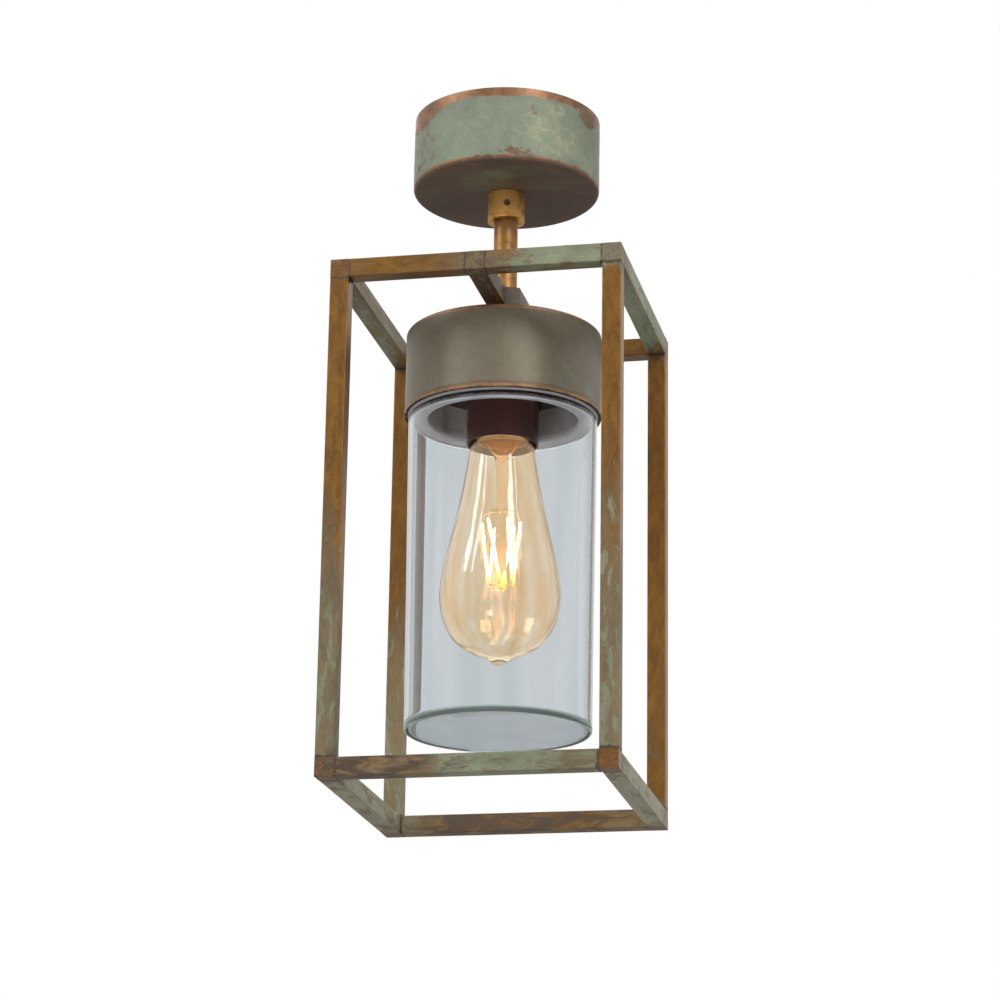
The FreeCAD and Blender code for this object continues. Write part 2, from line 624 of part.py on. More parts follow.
make_bracket()
make_nut("stem_lock_nut", f"{web_top} + washer_height + nut_height")
make_nut("cup_lock_nut", f"{cup_top} - cup_wall - washer_height")
make_washers()
make_earth_screw()
make_terminal_block()
tube("upper_nipple", "nipple_diameter", "nipple_bore", f"nipple_grip + {web_top} + 6 - {stem_top}",
     f"{web_top} + 6")
make_canopy()
make_collar()
make_grub_screw()
tube("stem_tube", "stem_diameter", "nipple_diameter", f"{stem_top} - {cage_top}", stem_top)
tube("lower_nipple", "nipple_diameter", "nipple_bore", f"nipple_grip + {cage_top} - {holder_top} + 6",
     f"{cage_top} + nipple_grip")
make_wires()
make_cage()
make_hub()
tube("spacer_tube", "spacer_diameter", "nipple_diameter", "spacer_height", f"{cage_top} - bar_size")
make_cup()
make_jar()
make_lampholder()
make_bulb_glass()
make_bulb_base()
make_filaments()
doc.recompute()

for item in doc.Objects:
    if "Invalid" in item.State or "Error" in item.State:
        raise RuntimeError(f"{item.Label} failed: {item.State}")
os.makedirs("parts", exist_ok=True)
for piece in pieces:
    shape = piece.Shape
    if shape.isNull() or not shape.isValid() or not shape.Solids:
        raise RuntimeError(f"{piece.Label} has no valid shape")
    shape.exportStep(f"parts/{piece.Label}.step")
print(len(pieces), "pieces written")
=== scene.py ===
# Porch ceiling lantern in verdigris brass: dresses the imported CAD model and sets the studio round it.
# Places and sizes are in millimetres and angles in degrees, unless a comment says otherwise.
import bmesh
import bpy
import numpy as np
from mathutils import Matrix, Vector


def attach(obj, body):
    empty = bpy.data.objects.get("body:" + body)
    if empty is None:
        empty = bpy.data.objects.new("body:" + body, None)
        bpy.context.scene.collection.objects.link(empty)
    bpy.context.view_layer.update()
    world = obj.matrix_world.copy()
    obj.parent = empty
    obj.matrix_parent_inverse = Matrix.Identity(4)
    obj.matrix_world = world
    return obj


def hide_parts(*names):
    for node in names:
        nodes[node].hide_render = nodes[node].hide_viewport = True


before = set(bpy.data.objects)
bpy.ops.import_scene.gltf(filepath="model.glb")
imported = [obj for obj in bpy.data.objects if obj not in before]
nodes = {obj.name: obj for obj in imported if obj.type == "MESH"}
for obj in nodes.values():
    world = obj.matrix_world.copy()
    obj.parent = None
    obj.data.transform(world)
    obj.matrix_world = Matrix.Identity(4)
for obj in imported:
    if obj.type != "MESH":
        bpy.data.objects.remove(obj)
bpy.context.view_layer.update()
scene = bpy.context.scene
mm = 0.001
white = (1, 1, 1, 1)
print("frame loaded:", len(nodes), "nodes")


# small tools

def colour(hexCode):
    # sRGB hex to linear red, green, blue and a full alpha
    byte = np.array([int(hexCode[i:i + 2], 16) for i in (1, 3, 5)]) / 255
    linear = np.where(byte <= 0.04045, byte / 12.92, ((byte + 0.055) / 1.055) ** 2.4)
    return (*linear.tolist(), 1.0)


def scaleFor(size):
    # noise scale whose features are about this many millimetres across
    return 1000 / size


def add(tree, kind, inputs=None, **settings):
    # one node: its settings, then each input from another node's socket or as a plain value
    node = tree.nodes.new("ShaderNode" + kind)
    for name, setting in settings.items():
        setattr(node, name, setting)
    for key, given in (inputs or {}).items():
        if isinstance(given, bpy.types.NodeSocket):
            tree.links.new(given, node.inputs[key])
        else:
            node.inputs[key].default_value = given
    return node


def newMaterial(name):
    material = bpy.data.materials.new(name)
    material.use_nodes = True
    tree = material.node_tree
    shader = tree.nodes["Principled BSDF"]
    return material, tree, shader


def dress(obj, material):
    obj.data.materials.clear()
    obj.data.materials.append(material)


def gridMesh(name, points, wrapRows):
    # one or several grids of (rows, columns, 3) points, each row a closed ring, joined into four-sided faces;
    # wrapRows also joins the last row to the first
    grids = points if points.ndim == 4 else points[None]
    count, rows, columns = grids.shape[:3]
    index = np.arange(count * rows * columns).reshape(count, rows, columns)
    index = np.concatenate([index, index[:, :, :1]], 2)
    if wrapRows:
        index = np.concatenate([index, index[:, :1]], 1)
    faces = np.stack([index[:, :-1, :-1], index[:, :-1, 1:], index[:, 1:, 1:], index[:, 1:, :-1]], -1)
    mesh = bpy.data.meshes.new(name)
    mesh.from_pydata(grids.reshape(-1, 3) * mm, [], faces.reshape(-1, 4).tolist())
    return mesh


def addPiece(name, points, body, material, node, sharp=32, wrapRows=False):
    # a piece that rides on the body and stands in for the CAD node; its grid is welded at poles and seams,
    # its faces turn outwards, and it is shaded smooth except at edges sharper than the given angle
    mesh = gridMesh(name, points, wrapRows)
    shape = bmesh.new()
    shape.from_mesh(mesh)
    bmesh.ops.remove_doubles(shape, verts=shape.verts, dist=1e-7)
    bmesh.ops.recalc_face_normals(shape, faces=shape.faces)
    shape.to_mesh(mesh)
    shape.free()
    mesh.polygons.foreach_set("use_smooth", np.ones(len(mesh.polygons), bool))
    mesh.set_sharp_from_angle(angle=np.radians(sharp))
    piece = bpy.data.objects.new(name, mesh)
    scene.collection.objects.link(piece)
    dress(piece, material)
    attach(piece, body)
    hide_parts(node)
    return piece


def letLightThrough(piece):
    # clear glass casts no shadow, so that the lamps reach what it holds
    piece.visible_shadow = False


def roundedProfile(corners, closed, step, arcSteps=6):
    # corners are (radius, height, rounding): each rounding becomes an arc tangent to both runs, and each run
    # is divided into steps of about the given length
    corners = np.array(corners, float)
    points, rounding = corners[:, :2], corners[:, 2]
    before, after = np.roll(points, 1, 0), np.roll(points, -1, 0)
    way = lambda a: a / np.maximum(np.linalg.norm(a, axis=1, keepdims=True), 1e-9)
    toBefore, toAfter = way(before - points), way(after - points)
    half = np.arccos(np.clip((toBefore * toAfter).sum(1), -1, 1)) / 2
    setback = rounding / np.tan(half)
    middle = points + way(toBefore + toAfter) * (rounding / np.sin(half))[:, None]
    line = []
    for i in range(len(points)):
        if rounding[i] <= 0:
            line.append(points[i:i + 1])
            continue
        share = np.linspace(0, 1, arcSteps + 1)[:, None]
        start, end = points[i] + toBefore[i] * setback[i], points[i] + toAfter[i] * setback[i]
        arc = way((start - middle[i]) * (1 - share) + (end - middle[i]) * share) * rounding[i]
        line.append(middle[i] + arc)
    line = np.concatenate(line)
    if closed:
        line = np.concatenate([line, line[:1]])
    runs = np.linalg.norm(np.diff(line, axis=0), axis=1)
    parts = [a + (b - a) * np.linspace(0, 1, max(1, int(np.ceil(run / step))), endpoint=False)[:, None]
             for a, b, run in zip(line[:-1], line[1:], runs)]
    return np.concatenate(parts if closed else parts + [line[-1:]])


def turnedPoints(profile, around, shift=None):
    # point(i, a) = (r cos a, r sin a, z) for each profile point (r, z); shift(r, a, z) is added to the radius
    angle = np.linspace(0, 2 * np.pi, around, endpoint=False)[None]
    radius, height = profile[:, :1] + 0 * angle, profile[:, 1:] + 0 * angle
    if shift:
        radius = np.maximum(radius + shift(radius, angle, height), 0) * (radius > 1e-6)
    return np.stack([radius * np.cos(angle), radius * np.sin(angle), height], -1)


def screwRidge(angle, height, pitch, low, high, fade):
    # a rounded thread: cosine of (height / pitch - angle / full turn), faded out at both ends
    wave = 0.5 + 0.5 * np.cos(2 * np.pi * height / pitch - angle)
    ends = np.clip((height - low) / fade, 0, 1) * np.clip((high - height) / fade, 0, 1)
    return wave * ends


def tubePoints(paths, radius, around):
    # paths of (count, rows, 3) points; each row becomes a ring square to its path
    along = np.gradient(paths, axis=1)
    along /= np.linalg.norm(along, axis=2, keepdims=True)
    anyWay = [0.31, 0.17, 0.93]  # no path here runs this way, so a side square to it can always be found
    side = np.cross(along, anyWay)
    side /= np.linalg.norm(side, axis=2, keepdims=True)
    other = np.cross(along, side)
    angle = np.linspace(0, 2 * np.pi, around, endpoint=False)
    radius = np.broadcast_to(radius, paths.shape[:2])[..., None, None]
    ring = side[:, :, None] * np.cos(angle)[:, None] + other[:, :, None] * np.sin(angle)[:, None]
    return paths[:, :, None] + ring * radius


# camera: the photograph's place and lens, fitted to the cage's corners

cameraView = {"place": (350.2, -1644.2, -738.9), "azimuth": 12.053, "elevation": -17.253, "roll": 0.925,
              "lens": 118.9, "sensor": 36, "farthestMetres": 100}


def makeCamera(look):
    # back = (sin turn cos rise, -cos turn cos rise, sin rise); level is square to back and to the z axis,
    # upright is square to both of these, and right and up are level and upright turned by the roll
    turn, rise, roll = np.radians([look["azimuth"], look["elevation"], look["roll"]])
    back = np.array([np.sin(turn) * np.cos(rise), -np.cos(turn) * np.cos(rise), np.sin(rise)])
    level = np.cross(-back, [0, 0, 1])
    level /= np.linalg.norm(level)
    upright = np.cross(level, -back)
    right = np.cos(roll) * level + np.sin(roll) * upright
    up = -np.sin(roll) * level + np.cos(roll) * upright
    data = bpy.data.cameras.new("camera")
    data.lens = look["lens"]
    data.sensor_width = look["sensor"]
    data.clip_end = look["farthestMetres"]
    camera = bpy.data.objects.new("camera", data)
    scene.collection.objects.link(camera)
    matrix = Matrix(np.stack([right, up, back], 1).tolist()).to_4x4()
    matrix.translation = Vector(look["place"]) * mm
    camera.matrix_world = matrix
    scene.camera = camera


# studio: white surround, soft boxes, and the porch floor under the lantern; metres and watts

studio = {"ambient": 0.42, "aim": (0, 0, -0.2),
          "lamps": [("keyRight", (1.4, -1.5, 1.25), (0.9, 0.7), 34),
                    ("fillLeft", (-1.6, -1.1, 1.1), (0.9, 0.7), 22),
                    ("backSoft", (-0.5, 1.9, 1.2), (1.6, 0.8), 14),
                    ("lowFront", (-0.3, -1.9, -1.5), (0.5, 0.4), 9)]}
floorPaper = {"drop": 2.4, "size": 60, "paper": "#eeeeee", "roughness": 0.9, "glow": 0.7}


def rayIs(tree, kinds):
    # 1 for a ray of any of these kinds, else 0: the greatest of the light path's answers
    path = add(tree, "LightPath").outputs
    answer = path[kinds[0]]
    for kind in kinds[1:]:
        answer = add(tree, "Math", {0: answer, 1: path[kind]}, operation="MAXIMUM").outputs[0]
    return answer


def makeSurround(look):
    # full white where it is looked at, mirrored or seen through glass, and dimmer where it only lights
    world = bpy.data.worlds.new("studioSurround")
    world.use_nodes = True
    scene.world = world
    tree = world.node_tree
    background = tree.nodes["Background"]
    seen = rayIs(tree, ["Is Camera Ray", "Is Glossy Ray", "Is Transmission Ray"])
    level = add(tree, "MapRange", {"Value": seen, "To Min": look["ambient"], "To Max": 1.0})
    tree.links.new(level.outputs[0], background.inputs["Strength"])
    background.inputs["Color"].default_value = white


def makeSoftBoxes(look):
    # each soft box stands at its place, its face square to the line towards the aim
    for name, place, size, power in look["lamps"]:
        data = bpy.data.lights.new(name, "AREA")
        data.shape = "RECTANGLE"
        data.size, data.size_y = size
        data.energy = power
        lamp = bpy.data.objects.new(name, data)
        scene.collection.objects.link(lamp)
        toward = Vector(look["aim"]) - Vector(place)
        lamp.matrix_world = Matrix.Translation(place) @ toward.to_track_quat("-Z", "Y").to_matrix().to_4x4()
        lamp.visible_camera = False


def makeFloor(look):
    # a square of matt paper; a share of what is seen of it glows, so that it stays as white as the surround
    half, low = look["size"] / 2, -look["drop"]
    mesh = bpy.data.meshes.new("porchFloor")
    mesh.from_pydata([(-half, -half, low), (half, -half, low), (half, half, low), (-half, half, low)], [],
                     [(0, 1, 2, 3)])
    floor = bpy.data.objects.new("porchFloor", mesh)
    scene.collection.objects.link(floor)
    material, tree, shader = newMaterial("palePaper")
    shader.inputs["Base Color"].default_value = colour(look["paper"])
    shader.inputs["Roughness"].default_value = look["roughness"]
    glow = add(tree, "Emission", {"Color": white, "Strength": 1.0})
    seen = rayIs(tree, ["Is Camera Ray", "Is Transmission Ray"])
    share = add(tree, "Math", {0: seen, 1: look["glow"]}, operation="MULTIPLY")
    both = add(tree, "MixShader", {0: share.outputs[0], 1: shader.outputs[0], 2: glow.outputs[0]})
    tree.links.new(both.outputs[0], tree.nodes["Material Output"].inputs["Surface"])
    dress(floor, material)


scene.view_settings.view_transform = "Standard"
makeCamera(cameraView)
makeSurround(studio)
makeSoftBoxes(studio)
makeFloor(floorPaper)
print("camera and studio set")


# brass finishes

# the real grain is finer than the speck, which is drawn at 1.1 mm so that it shows
patinaPattern = {"speck": 1.1, "grainDark": 0.86, "grainLight": 1.12, "speckRough": 0.12, "speckRelief": 0.5,
                 "relief": 0.2, "mottleShare": 0.35, "spotCore": 0.35}


def spread(tree, socket):
    # stretches a noise, which keeps close to one half, to the whole range from 0 to 1
    return add(tree, "MapRange", {"Value": socket, "From Min": 0.36, "From Max": 0.64}).outputs[0]


def patinaNoises(tree, place, look):
    # wide patches and a mottling a quarter as large, both drawn out along the bar, and an even speck
    streak = add(tree, "Mapping", {"Vector": place, "Scale": look["stretch"],
                                   "Location": look["seed"]}).outputs[0]
    kinds = {"wide": (streak, look["patch"], 7.0), "mottle": (streak, look["patch"] / 4, 6.0),
             "speck": (place, patinaPattern["speck"], 3.0)}
    return {kind: add(tree, "TexNoise", {"Vector": vector, "Scale": scaleFor(size), "Detail": detail,
                                         "Roughness": 0.66, "Distortion": 0.9}).outputs
            for kind, (vector, size, detail) in kinds.items()}


def wandering(tree, place, noise, reach):
    # place + reach * (noise - one half), so that a spot measured from it has a ragged rim
    moved = add(tree, "VectorMath", {0: noise, 1: (reach,) * 3, 2: place}, operation="MULTIPLY_ADD")
    centred = add(tree, "VectorMath", {0: moved.outputs[0], 1: (reach / 2,) * 3}, operation="SUBTRACT")
    return centred.outputs[0]


def nearSpot(tree, place, mark):
    # the length of (place - middle) / size, turned into 1 in the spot's core and 0 outside the spot
    middle = [c * mm for c in mark["at"]]
    offset = add(tree, "VectorMath", {0: place, 1: middle}, operation="SUBTRACT").outputs[0]
    shrink = [1 / (r * mm) for r in mark["size"]]
    sized = add(tree, "VectorMath", {0: offset, 1: shrink}, operation="MULTIPLY").outputs[0]
    far = add(tree, "VectorMath", {0: sized}, operation="LENGTH").outputs["Value"]
    return add(tree, "MapRange", {"Value": far, "From Min": 1.0, "From Max": patinaPattern["spotCore"]},
               interpolation_type="SMOOTHSTEP").outputs[0]


def agedBrass(name, look):
    # Brass sheet or bar coloured with a copper-salt patina and waxed. It gives the eye a warm brown-gold
    # metal that shows through chalky grey-green films, with darker stains, pale scuffs and a fine grain.
    # Metallic falls and roughness rises where a film is thick. Spots push the films up or down near them.
    pattern = patinaPattern
    material, tree, shader = newMaterial(name)
    place = add(tree, "TexCoord").outputs["Object"]
    noises = patinaNoises(tree, place, look)
    wide, mottle, speck = (noises[kind][0] for kind in ("wide", "mottle", "speck"))
    drift = wandering(tree, place, noises["mottle"]["Color"], look["wander"] * mm)
    nearness = [nearSpot(tree, drift, mark) for mark in look["spots"]]
    paint = add(tree, "Mix", {0: spread(tree, mottle), 6: colour(look["metal"]),
                              7: colour(look["metalDark"])}, data_type="RGBA").outputs[2]
    shade = spread(tree, add(tree, "Mix", {0: pattern["mottleShare"], 2: wide, 3: mottle}).outputs[0])
    cover = None
    for layer in look["films"]:
        level = noises[layer["noise"]][0]
        for mark, near in zip(look["spots"], nearness):
            if layer["name"] in mark:
                push = {0: near, 1: mark[layer["name"]], 2: level}
                level = add(tree, "Math", push, operation="MULTIPLY_ADD").outputs[0]
        start = 0.5 - layer["cover"]
        mask = add(tree, "MapRange", {"Value": level, "From Min": start, "From Max": start + layer["soft"]},
                   interpolation_type="SMOOTHSTEP").outputs[0]
        tone = add(tree, "Mix", {0: shade, 6: colour(layer["light"]), 7: colour(layer["dark"])},
                   data_type="RGBA").outputs[2]
        paint = add(tree, "Mix", {0: mask, 6: paint, 7: tone}, data_type="RGBA").outputs[2]
        cover = add(tree, "Math", {0: cover, 1: mask}, operation="MAXIMUM").outputs[0] if cover else mask
    grain = add(tree, "MapRange", {"Value": speck, "From Min": 0.3, "From Max": 0.7,
                                   "To Min": pattern["grainDark"], "To Max": pattern["grainLight"]})
    paint = add(tree, "VectorMath", {0: paint, "Scale": grain.outputs[0]}, operation="SCALE").outputs[0]
    tree.links.new(paint, shader.inputs["Base Color"])
    metallic = add(tree, "MapRange", {"Value": cover, "To Min": look["metallic"],
                                      "To Max": look["filmMetallic"]})
    tree.links.new(metallic.outputs[0], shader.inputs["Metallic"])
    rough = add(tree, "MapRange", {"Value": cover, "To Min": look["roughness"],
                                   "To Max": look["filmRoughness"]})
    rough = add(tree, "Math", {0: speck, 1: pattern["speckRough"], 2: rough.outputs[0]},
                operation="MULTIPLY_ADD")
    tree.links.new(rough.outputs[0], shader.inputs["Roughness"])
    height = add(tree, "Math", {0: mottle, 1: cover}, operation="ADD").outputs[0]
    height = add(tree, "Math", {0: speck, 1: pattern["speckRelief"], 2: height},
                 operation="MULTIPLY_ADD").outputs[0]
    bump = add(tree, "Bump", {"Height": height, "Strength": look["bump"],
                              "Distance": pattern["relief"] * mm})
    tree.links.new(bump.outputs[0], shader.inputs["Normal"])
    return material


def film(name, light, dark, cover, soft, noise):
    # one film of patina: two tones, how much it covers, how soft its rim is and the noise that breaks it up
    return {"name": name, "light": light, "dark": dark, "cover": cover, "soft": soft, "noise": noise}


allRound = 400  # a spot this wide reaches all round the lantern


def spot(at, size, **pushes):
    # a place with its reach along x, y and z, and how far each named film is pushed up or down there
    return {"at": at, "size": size, **pushes}


def band(height, reach, **pushes):
    # a spot all round the lantern at one height
    return spot((0, 0, height), (allRound, allRound, reach), **pushes)


canopyFinish = {
    "metal": "#8a6140", "metalDark": "#684a32", "metallic": 0.5, "roughness": 0.4, "bump": 0.2, "wander": 5,
    "filmMetallic": 0.15, "filmRoughness": 0.6,
    "stretch": (1.0, 1.0, 1.0), "seed": (0.3, 0.1, 0.7), "patch": 30,
    "films": [film("stain", "#675545", "#56473b", -0.2, 0.4, "mottle"),
              film("green", "#838e77", "#6d7363", 0.24, 0.14, "wide"),
              film("chalk", "#a9a587", "#979c80", -0.06, 0.4, "mottle"),
              film("brown", "#7b6048", "#5f4a37", -0.20, 0.2, "mottle"),
              film("haze", "#76795c", "#63664c", -0.2, 0.6, "mottle")],
    "spots": [band(1, 8, green=-0.6, chalk=-0.3),
              spot((-42, -30, 1), (46, 46, 17), green=-0.35, chalk=-0.2),
              band(-42.5, 4.3, green=-0.7, chalk=-0.5),
              band(-42.5, 2.2, stain=1.6),
              spot((-7, -21, -42), (24, 24, 6), haze=0.5),
              spot((12, -33, -42), (24, 14, 6), haze=0.42),
              spot((28, -9, -42), (26, 12, 6), haze=0.36),
              spot((-45, -25, -22), (36, 36, 34), brown=0.24, green=-0.02),
              spot((34, -38, -22), (30, 30, 26), chalk=0.22),
              spot((16, -48, -38), (15, 15, 6), brown=0.42),
              spot((48, -16, -7), (10, 16, 8), brown=0.46),
              spot((27, -43, -12), (10, 10, 6), brown=0.26),
              spot((40, -31, -40), (24, 24, 6), brown=0.2)]}
barFinish = {
    "metal": "#825b26", "metalDark": "#64451e", "metallic": 0.75, "roughness": 0.34, "bump": 0.3, "wander": 6,
    "filmMetallic": 0.25, "filmRoughness": 0.52,
    "stretch": (1.0, 1.0, 0.3), "seed": (0.0, 0.0, 0.0), "patch": 22,
    "films": [film("umber", "#7f7051", "#57472f", -0.06, 0.42, "wide"),
              film("green", "#8e957a", "#6b715a", -0.10, 0.16, "mottle"),
              film("chalk", "#a39a82", "#877f6a", -0.12, 0.2, "mottle"),
              film("stain", "#41352a", "#4e3f30", -0.16, 0.22, "mottle")],
    "spots": [band(-410, 230, umber=0.5, green=0.14, chalk=0.06, stain=0.11),
              band(-180, 70, green=-0.10, chalk=-0.08, umber=-0.06),
              band(-377, 14, umber=0.14, green=-0.05),
              spot((14, -77, -377), (46, 22, 16), green=0.18),
              spot((-48, -77, -377), (46, 22, 16), green=-0.14, chalk=-0.3, stain=0.19, umber=-0.24),
              spot((0, 74, -377), (90, 20, 20), green=-0.16, chalk=-0.3, stain=0.18, umber=-0.5),
              spot((74, 74, -320), (26, 26, 120), umber=-0.4, green=-0.1, chalk=-0.1),
              spot((74, -77, -230), (26, 26, 130), umber=0.08, chalk=0.07),
              spot((-30, -77, -109), (60, 22, 20), umber=0.12, green=-0.1),
              spot((45, -77, -109), (46, 22, 20), green=0.22, umber=0.4),
              spot((-74, 0, -109), (34, 100, 26), green=0.16, umber=0.5, stain=0.09),
              spot((74, 0, -109), (34, 100, 26), green=0.28, umber=0.5, stain=0.12),
              spot((-74, 0, -377), (34, 100, 26), green=0.16, chalk=0.17, stain=-0.02),
              spot((74, 0, -377), (34, 100, 26), green=0.18, chalk=0.2, stain=-0.02),
              spot((0, -28, -110), (22, 80, 24), green=0.06, umber=0.5, stain=0.34)]}
cupFinish = dict(
    canopyFinish, metal="#94704e", metalDark="#74563c", seed=(0.9, 0.4, 0.2), patch=40, wander=3,
    metallic=0.6, filmMetallic=0.38, filmRoughness=0.42,
    films=[film("taupe", "#716a58", "#655c4b", 0.32, 0.16, "wide"),
           film("stain", "#5d4f40", "#6a5a48", -0.16, 0.16, "mottle"),
           film("green", "#747e69", "#697663", -0.10, 0.2, "wide"),
           # the shade film is painted shade: a near-black film that stands for the shadow in the gap under
           # the cup's lip
           film("shade", "#1d1814", "#16120f", -0.6, 0.2, "wide")],
    # painted shade: this first band lays the near-black shade film on the lip's underside at the rim
    spots=[band(-171.4, 0.9, shade=1.4),
           band(-123.5, 4.5, taupe=-0.6, green=-0.6),
           band(-172, 4.4, taupe=-1.2, green=-0.9, stain=-0.4),
           band(-168.4, 1.4, stain=0.5),
           spot((45, -30, -160), (44, 44, 30), green=0.14),
           spot((-20, -50, -150), (30, 30, 24), green=0.06)])

# dark seams at the corner cubes' inner faces, and on both sides of the crossbar's end in the front rail
cubeInside = 67.5
bothSides = (-cubeInside, cubeInside)
seamDark = {"stain": 0.55, "green": -0.3, "chalk": -0.3}
seamsAcross = [spot((x, 0, -240), (1.5, allRound, allRound), **seamDark) for x in bothSides]
seamsAcross += [spot((x, -77, -109), (1.3, 20, 20), **seamDark) for x in (-5, 5)]
seamsDeep = [spot((0, y, -240), (allRound, 1.5, allRound), **seamDark) for y in bothSides]
seamsUpright = [band(z, 1.5, **seamDark) for z in (-114.5, -372)]

barSpots = barFinish["spots"]
patinaCanopy = agedBrass("verdigrisSpunBrass", canopyFinish)
patinaCup = agedBrass("waxedPatinaBrass", cupFinish)
patinaPost = agedBrass("agedDrawnBrassUpright", dict(barFinish, spots=barSpots + seamsUpright))
patinaAcross = agedBrass("agedDrawnBrassAcross", dict(
    barFinish, stretch=(0.3, 1.0, 1.0), seed=(0.2, 0.5, 0.1), spots=barSpots + seamsAcross))
patinaDeep = agedBrass("agedDrawnBrassDeep", dict(
    barFinish, stretch=(1.0, 0.3, 1.0), seed=(0.5, 0.2, 0.9), spots=barSpots + seamsDeep))
patinaCast = agedBrass("agedCastBrass", dict(
    barFinish, metal="#80582f", metalDark="#5e4227", stretch=(1.0, 1.0, 1.0), patch=9, seed=(0.1, 0.8, 0.4),
    spots=barSpots + [band(-377, 16, green=-0.14, chalk=-0.12, stain=-0.08)],
    films=[film("green", "#7b775e", "#625e4c", -0.02, 0.2, "wide"),
           film("stain", "#40372c", "#544838", -0.08, 0.16, "mottle"),
           film("chalk", "#93846a", "#7f715a", -0.14, 0.14, "mottle")]))


# turned and drawn metals

# real tool marks are finer than these rings, which are drawn 0.5 mm apart so that they show
latheMarks = {"ring": 0.5, "squash": 0.15, "ringHeight": 0.05, "strength": 0.25, "cloud": 7,
              "smoother": 0.08, "rougher": 0.14}


def turnedMetal(name, look):
    # Metal turned on a lathe or drawn, and lacquered or plated: satin, with fine rings across the axis and
    # small clouds of tarnish that are darker and a little rougher.
    material, tree, shader = newMaterial(name)
    place = add(tree, "TexCoord").outputs["Object"]
    flat = (latheMarks["squash"], latheMarks["squash"], 1.0)
    rings = add(tree, "Mapping", {"Vector": place, "Scale": flat}).outputs[0]
    ring = add(tree, "TexNoise", {"Vector": rings, "Scale": scaleFor(latheMarks["ring"]), "Detail": 3.0})
    cloud = add(tree, "TexNoise", {"Vector": place, "Scale": scaleFor(latheMarks["cloud"]), "Detail": 5.0,
                                   "Distortion": 0.6}).outputs[0]
    tarnish = add(tree, "MapRange", {"Value": cloud, "From Min": 0.5, "From Max": 0.72}).outputs[0]
    paint = add(tree, "Mix", {0: tarnish, 6: colour(look["metal"]), 7: colour(look["tarnish"])},
                data_type="RGBA")
    tree.links.new(paint.outputs[2], shader.inputs["Base Color"])
    shader.inputs["Metallic"].default_value = look["metallic"]
    rough = add(tree, "MapRange", {"Value": cloud, "To Min": look["roughness"] - latheMarks["smoother"],
                                   "To Max": look["roughness"] + latheMarks["rougher"]})
    tree.links.new(rough.outputs[0], shader.inputs["Roughness"])
    bump = add(tree, "Bump", {"Height": ring.outputs[0], "Strength": latheMarks["strength"],
                              "Distance": latheMarks["ringHeight"] * mm})
    tree.links.new(bump.outputs[0], shader.inputs["Normal"])
    return material


metalKinds = {
    # stem, spacer and gallery: turned and lightly aged, a dull gold-brown
    "satinTurnedBrass": {"metal": "#92693a", "tarnish": "#6f4d29", "roughness": 0.42, "metallic": 0.7},
    # clamping collar: brass painted lighter than the stem's, as painted light that makes up for the canopy's
    # shadow on it; the lightest brass in view
    "collarBrassPaintedLight": {"metal": "#eeb768", "tarnish": "#8a6230", "roughness": 0.34, "metallic": 0.75},
    # threaded tubes, screws and contacts: yellow brass as it left the mill
    "millBrass": {"metal": "#c2a25e", "tarnish": "#9a7c48", "roughness": 0.3, "metallic": 1.0},
    # lamp's cap: thin rolled brass, painted brighter and paler as painted light, so that its inside reads
    # bright gold in the lampholder's mouth
    "rolledBrassCapPaintedLight": {"metal": "#eccd78", "tarnish": "#c8a04a", "roughness": 0.3, "metallic": 0.6},
    # bracket, nuts and washers: dull blue-grey zinc
    "zincPlatedSteel": {"metal": "#999da0", "tarnish": "#7b8082", "roughness": 0.5, "metallic": 1.0},
    # grub screw: blackened steel that has worn back to brown
    "blackenedSteel": {"metal": "#7c6242", "tarnish": "#54422c", "roughness": 0.45, "metallic": 0.6},
    # wires that hold the filament sticks: drawn nickel, painted a warm cream as painted light from the sticks
    "nickelWirePaintedWarm": {"metal": "#e8d6b4", "tarnish": "#c9b48c", "roughness": 0.3, "metallic": 1.0},
    # lamp's contact tip: soft grey solder
    "solder": {"metal": "#a8a8a6", "tarnish": "#7f8080", "roughness": 0.4, "metallic": 1.0}}
satinBrass, collarBrass, plainBrass, capBrass, zincSteel, blackSteel, supportSteel, solderTip = (
    turnedMetal(name, look) for name, look in metalKinds.items())


# plastics, rubber, ceramics

# the peel is drawn coarser than on the real parts, so that it shows
peelPattern = {"size": 0.6, "height": 0.1, "smoother": 0.06, "rougher": 0.08}


def mouldedSurface(name, look):
    # Moulded or fired material: one body colour with faint flow marks and a fine orange-peel texture.
    material, tree, shader = newMaterial(name)
    place = add(tree, "TexCoord").outputs["Object"]
    flow = add(tree, "TexNoise", {"Vector": place, "Scale": scaleFor(look["flow"]), "Detail": 4.0,
                                  "Distortion": 1.2}).outputs[0]
    peel = add(tree, "TexNoise", {"Vector": place, "Scale": scaleFor(peelPattern["size"]),
                                  "Detail": 2.0}).outputs[0]
    paint = add(tree, "Mix", {0: flow, 6: colour(look["light"]), 7: colour(look["dark"])}, data_type="RGBA")
    tree.links.new(paint.outputs[2], shader.inputs["Base Color"])
    shader.inputs["IOR"].default_value = look["ior"]
    rough = add(tree, "MapRange", {"Value": peel, "To Min": look["roughness"] - peelPattern["smoother"],
                                   "To Max": look["roughness"] + peelPattern["rougher"]})
    tree.links.new(rough.outputs[0], shader.inputs["Roughness"])
    bump = add(tree, "Bump", {"Height": peel, "Strength": look["bump"],
                              "Distance": peelPattern["height"] * mm})
    tree.links.new(bump.outputs[0], shader.inputs["Normal"])
    return material


